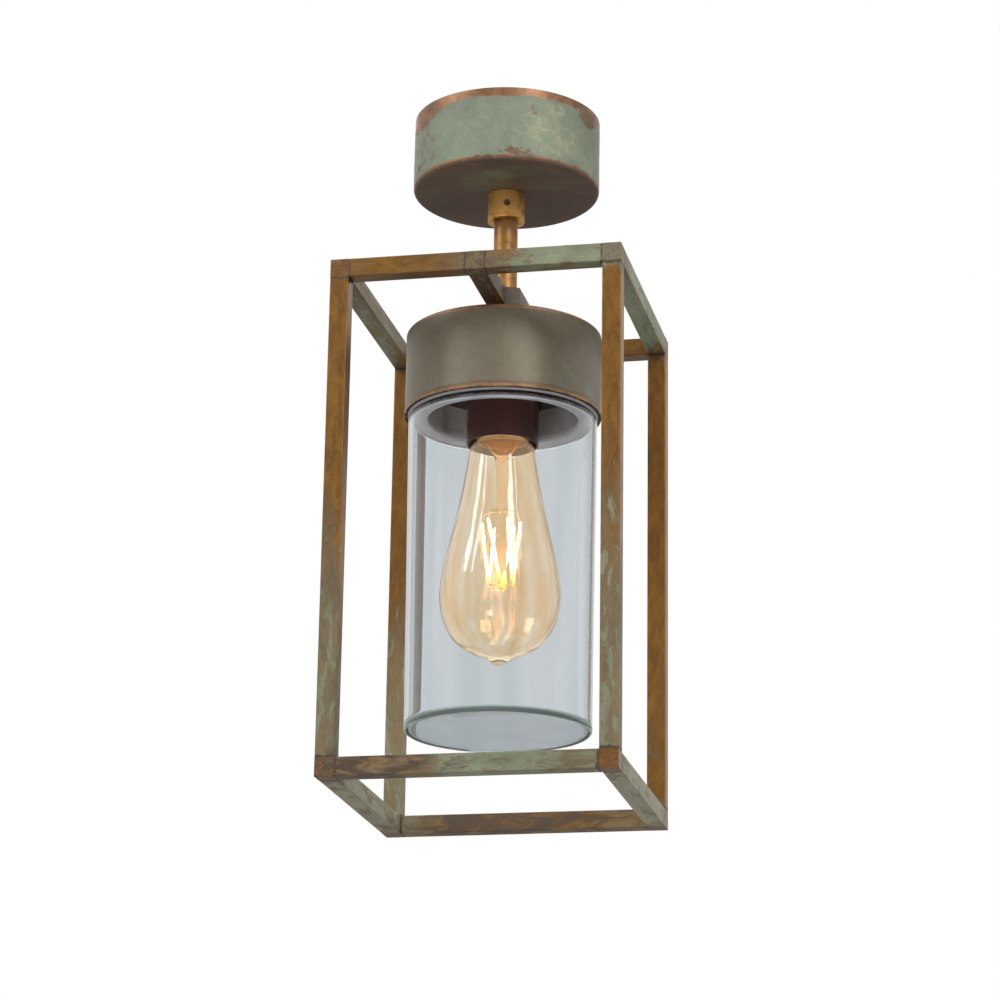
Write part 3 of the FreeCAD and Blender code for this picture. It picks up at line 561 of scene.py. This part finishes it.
mouldedKinds = {
    # lampholder: pressed phenolic, a dark red-brown with a soft gloss
    "brownPhenolic": {"light": "#54180c", "dark": "#1c0805", "flow": 9, "ior": 1.3,
                      "roughness": 0.2, "bump": 0.15},
    # gasket: pale and dull
    "mouldedSilicone": {"light": "#c9c9cd", "dark": "#bcbcc2", "flow": 5, "ior": 1.52,
                        "roughness": 0.62, "bump": 0.4},
    # lampholder's inner block: warm white under a clear glaze
    "glazedPorcelain": {"light": "#ece8df", "dark": "#ddd7ca", "flow": 6, "ior": 1.5,
                        "roughness": 0.18, "bump": 0.1},
    # lamp's base: fused black glass ceramic
    "blackVitrite": {"light": "#232225", "dark": "#151416", "flow": 4, "ior": 1.55,
                     "roughness": 0.2, "bump": 0.1},
    # terminal block: milky nylon
    "mouldedNylon": {"light": "#e3e1d8", "dark": "#d3d0c4", "flow": 7, "ior": 1.53,
                     "roughness": 0.4, "bump": 0.3},
    # wires: drawn PVC sleeves in brown for live, blue for neutral and green for earth
    "brownWireSleeve": {"light": "#5b3a22", "dark": "#4a2e1a", "flow": 8, "ior": 1.52,
                        "roughness": 0.4, "bump": 0.2},
    "blueWireSleeve": {"light": "#2f5f97", "dark": "#244d7e", "flow": 8, "ior": 1.52,
                       "roughness": 0.4, "bump": 0.2},
    "greenWireSleeve": {"light": "#4f8a3a", "dark": "#5f9a3c", "flow": 8, "ior": 1.52,
                        "roughness": 0.4, "bump": 0.2}}
bakelite, paleSilicone, porcelain, blackCeramic, blockPlastic, brownWire, blueWire, greenWire = (
    mouldedSurface(name, look) for name, look in mouldedKinds.items())


# glass

def clearGlass(name, look):
    # Blown or pressed glass: clear with a body tint and slow waves in the surface that bend what is behind.
    # It may darken where it is seen edge on, and it may have a painted glow, more towards its foot, that
    # stands in for the sticks' light in the glass.
    material, tree, shader = newMaterial(name)
    place = add(tree, "TexCoord").outputs["Object"]
    drawn = add(tree, "Mapping", {"Vector": place, "Scale": (1.0, 1.0, look["draw"])}).outputs[0]
    wave = add(tree, "TexNoise", {"Vector": drawn, "Scale": scaleFor(look["wave"]), "Detail": 2.0}).outputs[0]
    bump = add(tree, "Bump", {"Height": wave, "Strength": 1.0, "Distance": look["waveHeight"] * mm})
    tree.links.new(bump.outputs[0], shader.inputs["Normal"])
    body = add(tree, "Mix", {0: spread(tree, wave), 6: colour(look["tint"]), 7: colour(look["deep"])},
               data_type="RGBA").outputs[2]
    if "edge" in look:
        facing = add(tree, "LayerWeight", {"Blend": 0.5}).outputs["Facing"]
        turned = add(tree, "MapRange", {"Value": facing, "From Min": look["edgeFrom"],
                                        "From Max": look["edgeTo"]})
        body = add(tree, "Mix", {0: turned.outputs[0], 6: body, 7: colour(look["edge"])},
                   data_type="RGBA").outputs[2]
    tree.links.new(body, shader.inputs["Base Color"])
    shader.inputs["Transmission Weight"].default_value = look["clear"]
    shader.inputs["Specular Tint"].default_value = colour(look["shine"])
    shader.inputs["Roughness"].default_value = look["roughness"]
    shader.inputs["IOR"].default_value = look["ior"]
    # painted glow: emission that stands in for the sticks' light caught in the glass, stronger towards the
    # foot where footGlow is given
    if "glow" in look:
        shader.inputs["Emission Color"].default_value = colour(look["glowColour"])
        shader.inputs["Emission Strength"].default_value = look["glow"]
    if "footGlow" in look:
        height = add(tree, "SeparateXYZ", {0: place}).outputs["Z"]
        low = add(tree, "MapRange", {"Value": height, "From Min": look["glowTop"] * mm,
                                     "From Max": look["glowFoot"] * mm, "To Min": look["glow"],
                                     "To Max": look["footGlow"]}, interpolation_type="SMOOTHSTEP")
        tree.links.new(low.outputs[0], shader.inputs["Emission Strength"])
    return material


glassKinds = {
    # jar: clear pressed glass, grey-green where it is seen edge on
    "pressedClearGlass": {"tint": "#e4e6e8", "deep": "#dadfe1", "wave": 20, "waveHeight": 0.06, "draw": 0.1,
                          "roughness": 0.0, "ior": 1.36, "clear": 1.0, "shine": "#8a8a8a",
                          "edge": "#76868a", "edgeFrom": 0.6, "edgeTo": 0.84},
    # lamp: thin blown amber glass with long streaks and a faint painted glow for the sticks' light in it
    "amberLampGlass": {"tint": "#fff9ec", "deep": "#f8e3c4", "wave": 9, "waveHeight": 0.3, "draw": 0.12,
                       "roughness": 0.0, "ior": 1.44, "clear": 1.0, "shine": "#ffffff", "glow": 0.06,
                       "glowColour": "#ffd8ac"},
    # lamp's inner stem: drawn tube with a painted orange glow at its foot, where the sticks' light falls
    "drawnMountGlass": {"tint": "#fff2dc", "deep": "#ffe9c8", "wave": 5, "waveHeight": 0.05, "draw": 0.3,
                        "roughness": 0.02, "ior": 1.07, "clear": 1.0, "shine": "#bcbcbc", "glow": 0.05,
                        "glowColour": "#ff9030", "footGlow": 0.7, "glowTop": -236, "glowFoot": -262},
    # jar's thick foot: clouded blue-green
    "cloudedFootGlass": {"tint": "#b4c8c3", "deep": "#a9bfba", "wave": 12, "waveHeight": 0.1, "draw": 1.0,
                         "roughness": 0.3, "ior": 1.3, "clear": 0.72, "shine": "#ffffff"},
    # jar's shoulder: satin and pale
    "satinShoulderGlass": {"tint": "#e4e5ec", "deep": "#d6d8e0", "wave": 12, "waveHeight": 0.1, "draw": 1.0,
                           "roughness": 0.4, "ior": 1.3, "clear": 0.45, "shine": "#ffffff"},
    # jar's neck: its thread scatters the light
    "threadedNeckGlass": {"tint": "#e6e4e4", "deep": "#c8c6c6", "wave": 8, "waveHeight": 0.1, "draw": 0.3,
                          "roughness": 0.25, "ior": 1.3, "clear": 0.72, "shine": "#ffffff"},
    # jar's top edge: thick glass given a dark tint as painted shade, for the shadow under the cup's lip
    "paintedShadeEdgeGlass": {"tint": "#241f1c", "deep": "#1a1715", "wave": 12, "waveHeight": 0.05, "draw": 1.0,
                        "roughness": 0.25, "ior": 1.2, "clear": 0.4, "shine": "#3a3a3a"}}
jarGlass, amberGlass, mountGlass, footGlass, shoulderGlass, neckGlass, paintedShadeGlass = (
    clearGlass(name, look) for name, look in glassKinds.items())


def litPhosphor(name, look):
    # Silicone with yellow phosphor over lit diodes: even warm light, deeper between diodes and at the foot.
    material, tree, shader = newMaterial(name)
    place = add(tree, "TexCoord").outputs["Object"]
    beads = add(tree, "TexNoise", {"Vector": place, "Scale": scaleFor(look["bead"]),
                                   "Detail": 1.0}).outputs[0]
    glow = add(tree, "Mix", {0: beads, 6: colour(look["bright"]), 7: colour(look["deep"])},
               data_type="RGBA").outputs[2]
    height = add(tree, "SeparateXYZ", {0: place}).outputs["Z"]
    low = add(tree, "MapRange", {"Value": height, "From Min": look["fadeTop"] * mm,
                                 "From Max": look["fadeFoot"] * mm}).outputs[0]
    glow = add(tree, "Mix", {0: low, 6: glow, 7: colour(look["foot"])}, data_type="RGBA").outputs[2]
    tree.links.new(glow, shader.inputs["Emission Color"])
    shader.inputs["Emission Strength"].default_value = look["strength"]
    shader.inputs["Base Color"].default_value = colour(look["body"])
    shader.inputs["Roughness"].default_value = look["roughness"]
    return material


phosphor = litPhosphor("litPhosphorSilicone", {
    "bright": "#fff3d0", "deep": "#ffdf9c", "foot": "#ff8a1c", "body": "#e8b858", "strength": 8.0,
    "roughness": 0.5, "bead": 2.2, "fadeTop": -250.0, "fadeFoot": -263.0})
print("materials made:", len(bpy.data.materials))


# CAD nodes that keep their shape

keptNodes = {
    satinBrass: ["stem_tube", "spacer_tube"],
    collarBrass: ["canopy_collar"],
    plainBrass: ["terminal_screws", "bracket_earth_screw", "upper_nipple", "lower_nipple",
                 "lampholder_contact", "lampholder_screw_shell"],
    zincSteel: ["ceiling_bracket", "stem_lock_nut", "cup_lock_nut", "stem_washers"],
    blackSteel: ["collar_grub_screw"],
    blockPlastic: ["terminal_block"],
    brownWire: ["live_wire"],
    blueWire: ["neutral_wire"],
    greenWire: ["earth_wire"],
    bakelite: ["lampholder_cap", "lampholder_body"],
    porcelain: ["lampholder_insulator"],
    capBrass: ["bulb_cap"],
    blackCeramic: ["bulb_base_insulator"],
    solderTip: ["bulb_contact_tip"],
    paleSilicone: ["glass_gasket"],
    patinaPost: [n for n in nodes if n.startswith("post_")],
    patinaAcross: [n for n in nodes if n.startswith("rail_") and ("_front" in n or "_rear" in n)],
    patinaDeep: ["rail_top_left", "rail_top_right", "rail_bottom_left", "rail_bottom_right", "crossbar_front",
                 "crossbar_rear"],
    patinaCast: [n for n in nodes if n.startswith("corner_")] + ["hub_block"],
}
for material, names in keptNodes.items():
    for name in names:
        dress(nodes[name], material)
print("kept nodes dressed:", sum(len(names) for names in keptNodes.values()))


# canopy and cup: spun and hand finished, so their outer walls wander by a tenth of a millimetre

canopySizes = {"radius": 51.0, "drop": 42.0, "wall": 1.2, "edge": 2.5, "bore": 6.58, "rimRound": 0.3,
               "boreRound": 0.2, "wander": 0.1, "wallDepth": 5.0, "step": 3.0, "around": 192}
cupSizes = {"radius": 53.0, "top": -124.5, "rim": -171.0, "wall": 1.5, "edge": 2.0, "bore": 5.0, "lip": 2.5,
            "lipStep": 0.2, "stepHeight": 0.3, "stepRound": 0.1, "rimRound": 0.4, "rimInside": 0.3,
            "roofRound": 0.5, "wander": 0.08, "wallDepth": 1.4, "step": 3.0, "around": 192}


def spunShift(size):
    # added to the radius: wander * (two slow waves round the axis - 1), never above 0, on the outer wall only
    def shift(radius, angle, height):
        wave = np.sin(3 * angle + 0.08 * height) * 0.6 + np.sin(5 * angle - 0.05 * height + 1) * 0.4
        return size["wander"] * (wave - 1) * (radius > size["radius"] - size["wallDepth"])
    return shift


def makeCanopy(size):
    # profile down the outer wall, in to the stem's bore and back up inside, turned round the axis
    r, low, bore = size["radius"], -size["drop"], size["bore"]
    inner, roof = r - size["wall"], low + size["wall"]
    profile = roundedProfile([(r, 0, size["rimRound"]), (r, low, size["edge"]),
                              (bore, low, size["boreRound"]), (bore, roof, 0),
                              (inner, roof, size["edge"] - size["wall"]), (inner, 0, size["rimRound"])],
                             True, size["step"])
    points = turnedPoints(profile, size["around"], spunShift(size))
    addPiece("canopyShell", points, "canopy_shell", patinaCanopy, "canopy", wrapRows=True)


def makeCup(size):
    # profile from the bore out along the top, down the wall to the slightly wider lip, and back up inside
    r, top, rim, bore = size["radius"], size["top"], size["rim"], size["bore"]
    inner, roof = r - size["wall"], top - size["wall"]
    upper, lip = r - size["lipStep"], rim + size["lip"]
    profile = roundedProfile([(bore, top, 0), (upper, top, size["edge"]),
                              (upper, lip + size["stepHeight"], size["stepRound"]),
                              (r, lip, size["stepRound"]), (r, rim, size["rimRound"]),
                              (inner, rim, size["rimInside"]), (inner, roof, size["roofRound"]),
                              (bore, roof, 0)], True, size["step"])
    points = turnedPoints(profile, size["around"], spunShift(size))
    addPiece("fitterCupShell", points, "lantern", patinaCup, "fitter_cup", wrapRows=True)


# gallery ring and jar with their rounded glass thread

jarSizes = {"neckTop": -154.3, "neck": 44.4, "neckBore": 40.5, "shoulder": -171.4, "radius": 50.7,
            "footRadius": 49.3, "wall": 2.4, "shoulderWall": 2.4, "foot": -344.0, "base": 3.0, "heel": 1.6,
            "innerHeel": 1.6, "shoulderRound": 2.0, "neckFoot": 0.4, "neckRound": 1.0, "neckInside": 0.8,
            "shoulderInside": 1.5, "pitch": 4.0, "threadDepth": 0.8991, "threadFoot": 2.0, "threadEnd": 1.5,
            "neckMargin": 1.0, "wander": 0.04, "wallFrom": 45.0, "step": 1.6, "arcSteps": 10, "around": 224}
# how far each kind of glass reaches from the foot, the shoulder's edge and the neck
jarZones = {"footHeight": 0.6, "footInset": 0.8, "shoulderDrop": 1.7, "edgeWidth": 1.2, "edgeDrop": 2.0,
            "over": 0.2, "neckReach": 0.5}
gallerySizes = {"bore": 44.7, "radius": 51.5, "low": -168.5, "high": -153.0, "round": 0.3, "threadDepth": 0.7,
                "threadFade": 1.0, "step": 0.7, "around": 160}


def jarGlassAt(centre, size, zone):
    # number of the glass at each face's centre: 0 wall, 1 foot, 2 shoulder, 3 neck, 4 top edge with painted
    # shade
    reach, height = np.hypot(centre[:, 0], centre[:, 1]), centre[:, 2]
    floor, shoulder = size["foot"] + size["base"], size["shoulder"]
    ceiling, innerFoot = shoulder - size["shoulderWall"], size["footRadius"] - size["wall"]
    outside = reach >= size["radius"] - zone["edgeWidth"]
    below = height < shoulder + zone["over"]
    onFoot = (height < floor + zone["footHeight"]) & (reach > innerFoot + zone["footInset"])
    onShoulder = (height > ceiling - zone["shoulderDrop"]) & below & ~outside
    onNeck = ~below & (reach < size["neck"] + zone["neckReach"])
    # painted shade: the outer top edge under the cup's lip gets the dark-tinted glass
    inPaintedShadeBand = (height > shoulder - zone["edgeDrop"]) & below & outside
    return (onFoot + 2 * onShoulder + 3 * onNeck + 4 * inPaintedShadeBand).astype(np.int32)


def makeJar(size, zone):
    # profile from the middle of the foot up the outer wall, over shoulder and neck and back down inside
    foot, floor, top = size["foot"], size["foot"] + size["base"], size["neckTop"]
    shoulder, ceiling = size["shoulder"], size["shoulder"] - size["shoulderWall"]
    inner, innerFoot = size["radius"] - size["wall"], size["footRadius"] - size["wall"]
    neck, bore = size["neck"], size["neckBore"]
    profile = roundedProfile([(0, foot, 0), (size["footRadius"], foot, size["heel"]),
                              (size["radius"], shoulder, size["shoulderRound"]),
                              (neck, shoulder, size["neckFoot"]), (neck, top, size["neckRound"]),
                              (bore, top, size["neckRound"]), (bore, ceiling, size["neckInside"]),
                              (inner, ceiling, size["shoulderInside"]),
                              (innerFoot, floor, size["innerHeel"]), (0, floor, 0)],
                             False, size["step"], size["arcSteps"])

    def shift(radius, angle, height):
        # thread cut into the neck, and walls that wander a little all round
        fade, above = size["threadEnd"], height - shoulder
        onNeck = (np.abs(radius - neck) < 0.01) & (above > size["neckMargin"])
        ridge = screwRidge(angle, height, size["pitch"], shoulder + size["threadFoot"], top - fade, fade)
        cut = (ridge - 1) * size["threadDepth"] * np.clip((above - fade) / fade, 0, 1)
        wander = size["wander"] * (np.sin(2 * angle + 0.03 * height) - 1) * (radius > size["wallFrom"])
        return np.where(onNeck, cut, wander)
    points = turnedPoints(profile, size["around"], shift)
    jar = addPiece("jarGlassWall", points, "jar", jarGlass, "glass_jar", sharp=60)
    letLightThrough(jar)
    for other in (footGlass, shoulderGlass, neckGlass, paintedShadeGlass):
        jar.data.materials.append(other)
    faces = jar.data.polygons
    centre = np.empty(3 * len(faces))
    faces.foreach_get("center", centre)
    faces.foreach_set("material_index", jarGlassAt(centre.reshape(-1, 3) / mm, size, zone))


def makeGallery(size, pitch):
    # a square ring whose bore carries the jar's thread as a low ridge
    low, high, bore, outer = size["low"], size["high"], size["bore"], size["radius"]
    corners = ((bore, low), (outer, low), (outer, high), (bore, high))
    profile = roundedProfile([(*corner, size["round"]) for corner in corners], True, size["step"])

    def shift(radius, angle, height):
        fade = size["threadFade"]
        ridge = screwRidge(angle, height, pitch, low + fade, high - fade, fade)
        return np.where(radius < bore + 0.01, size["threadDepth"] * ridge, 0)
    points = turnedPoints(profile, size["around"], shift)
    addPiece("galleryRing", points, "lantern", satinBrass, "glass_gallery", wrapRows=True)


# lamp: blown glass, mount, filaments and their wires

# the lamp's outline is (depth below the mouth, radius), the mount's (radius, height over the mouth, rounding)
lampSizes = {"mouth": -184.5, "depth": 124.0, "wall": 0.8, "tipWall": 2.6, "tipHollow": 0.15, "poleGap": 0.6,
             "rows": 130, "around": 160,
             "outline": [(0, 12.6), (2.2, 15.0), (4.5, 17.3), (12, 18.7), (30, 21.6), (47, 25.2), (66, 29.6),
                         (78, 31.6), (87, 32.2), (96, 31.0), (103, 28.7), (110.5, 24.0), (115.5, 17.3),
                         (119, 9.0), (121.7, 5.0), (123.5, 2.0), (124.0, 0)]}
filamentSizes = {"count": 6, "top": -229.5, "bottom": -263.0, "topRadius": 10.5, "bottomRadius": 7.5,
                 "twist": 40.0, "radius": 0.8, "endShare": 0.3, "rows": 33, "around": 16}
wireSizes = {"radius": 0.3, "start": 2.6, "rise": 6.0, "sink": 1.0, "grip": 0.4, "bendAt": 0.8, "bowUp": 2.0,
             "bowDown": -1.6, "rows": 14, "around": 10}
mountSizes = {"outline": [(0, -82.5, 0), (3.2, -82.5, 2.2), (3.2, -14, 3.0), (4.5, -8, 5.0), (11.4, 0.5, 0.4),
                          (11.4, 1.5, 0.3), (10.6, 1.5, 0.3), (3.6, -8, 4.0), (0, -13, 0)],
              "step": 1.5, "around": 64}


def smoothLine(points, count):
    # Catmull-Rom curve through the points, evenly shared out over their runs
    points = np.array(points, float)
    padded = np.concatenate([2 * points[:1] - points[1:2], points, 2 * points[-1:] - points[-2:-1]])
    place = np.linspace(0, len(points) - 1, count)
    i = np.minimum(place.astype(int), len(points) - 2)
    t = (place - i)[:, None]
    a, b, c, d = (padded[i + k] for k in range(4))
    bend = (2 * a - 5 * b + 4 * c - d) * t ** 2
    return 0.5 * (2 * b + (c - a) * t + bend + (3 * b - a - 3 * c + d) * t ** 3)


def makeLampGlass(size):
    # the outline as a smooth curve, and the same curve moved in by the wall, with solid glass left in the tip
    line = smoothLine([(radius, -depth) for depth, radius in size["outline"]], size["rows"])
    line[-1, 0] = 0
    along = np.gradient(line, axis=0)
    normal = np.stack([-along[:, 1], along[:, 0]], 1)
    normal /= np.linalg.norm(normal, axis=1, keepdims=True)
    inside = line - normal * size["wall"]
    inside = inside[(inside[:, 0] > size["poleGap"]) & (inside[:, 1] > -size["depth"] + size["tipWall"])]
    inside = np.concatenate([inside, [[0, inside[-1, 1] - size["tipHollow"]]]])
    profile = np.concatenate([line[::-1], inside])
    profile[:, 1] += size["mouth"]
    glass = addPiece("lampGlass", turnedPoints(profile, size["around"]), "lamp", amberGlass, "bulb_glass",
                     sharp=70)
    letLightThrough(glass)


def ringPoints(radius, angle, height):
    # (r cos a, r sin a, z) for each angle
    return np.stack([radius * np.cos(angle), radius * np.sin(angle), np.full(len(angle), height)], 1)


def stickAngles(size):
    # the sticks' upper ends stand evenly round the axis, and their lower ends a twist further round
    upper = 2 * np.pi * np.arange(size["count"]) / size["count"]
    return upper, upper + np.radians(size["twist"])


def makeFilaments(size):
    # each stick is a straight tube from its upper to its lower end, narrowed and closed at both
    upperAngle, lowerAngle = stickAngles(size)
    upper = ringPoints(size["topRadius"], upperAngle, size["top"])
    lower = ringPoints(size["bottomRadius"], lowerAngle, size["bottom"])
    share = np.concatenate([[0], np.linspace(0, 1, size["rows"]), [1]])
    paths = upper[:, None] + (lower - upper)[:, None] * share[None, :, None]
    pole = (upper - lower) * 1e-4  # keeps each pole apart from its ring
    paths[:, 0] += pole
    paths[:, -1] -= pole
    radius = np.full(len(share), size["radius"])
    radius[[1, -2]] *= size["endShare"]
    radius[[0, -1]] = 0
    points = tubePoints(paths, radius[None], size["around"])
    addPiece("filamentSticks", points, "lamp", phosphor, "bulb_filaments", sharp=80)


def makeSupportWires(size, stick):
    # bent wires from the mount to the sticks' ends, as smooth curves through start, bend and end; a pole
    # closes each end
    upperAngle, lowerAngle = stickAngles(stick)
    top, bottom, grip = stick["top"], stick["bottom"], size["grip"]
    upperRun = (upperAngle, top + size["rise"], top - grip, stick["topRadius"], size["bowUp"])
    lowerRun = (lowerAngle, bottom - size["sink"], bottom + grip, stick["bottomRadius"], size["bowDown"])
    paths = []
    for angle, high, low, reach, bow in (upperRun, lowerRun):
        start = ringPoints(size["start"], angle, high)
        bend = ringPoints(reach * size["bendAt"], angle, (high + low) / 2 + bow)
        end = ringPoints(reach, angle, low)
        paths += [smoothLine(three, size["rows"]) for three in zip(start, bend, end)]
    paths = np.array(paths)
    points = tubePoints(paths, size["radius"], size["around"])
    blank = np.zeros_like(points[:, :1])
    points = np.concatenate([paths[:, :1, None] + blank, points, paths[:, -1:, None] + blank], 1)
    addPiece("supportWires", points, "lamp", supportSteel, "bulb_support_wires", sharp=70)


def makeMount(size, mouth):
    # the outline turned round the axis: a stem with a rounded foot, flared out to the lamp's mouth
    profile = roundedProfile(size["outline"], False, size["step"])
    profile[:, 1] += mouth
    mount = addPiece("mountStem", turnedPoints(profile, size["around"]), "lamp", mountGlass, "bulb_mount",
                     sharp=50)
    letLightThrough(mount)


makeCanopy(canopySizes)
makeCup(cupSizes)
print("canopy and cup made")
makeJar(jarSizes, jarZones)
makeGallery(gallerySizes, jarSizes["pitch"])
print("jar and gallery made")
makeLampGlass(lampSizes)
makeFilaments(filamentSizes)
makeSupportWires(wireSizes, filamentSizes)
makeMount(mountSizes, lampSizes["mouth"])
print("lamp made")
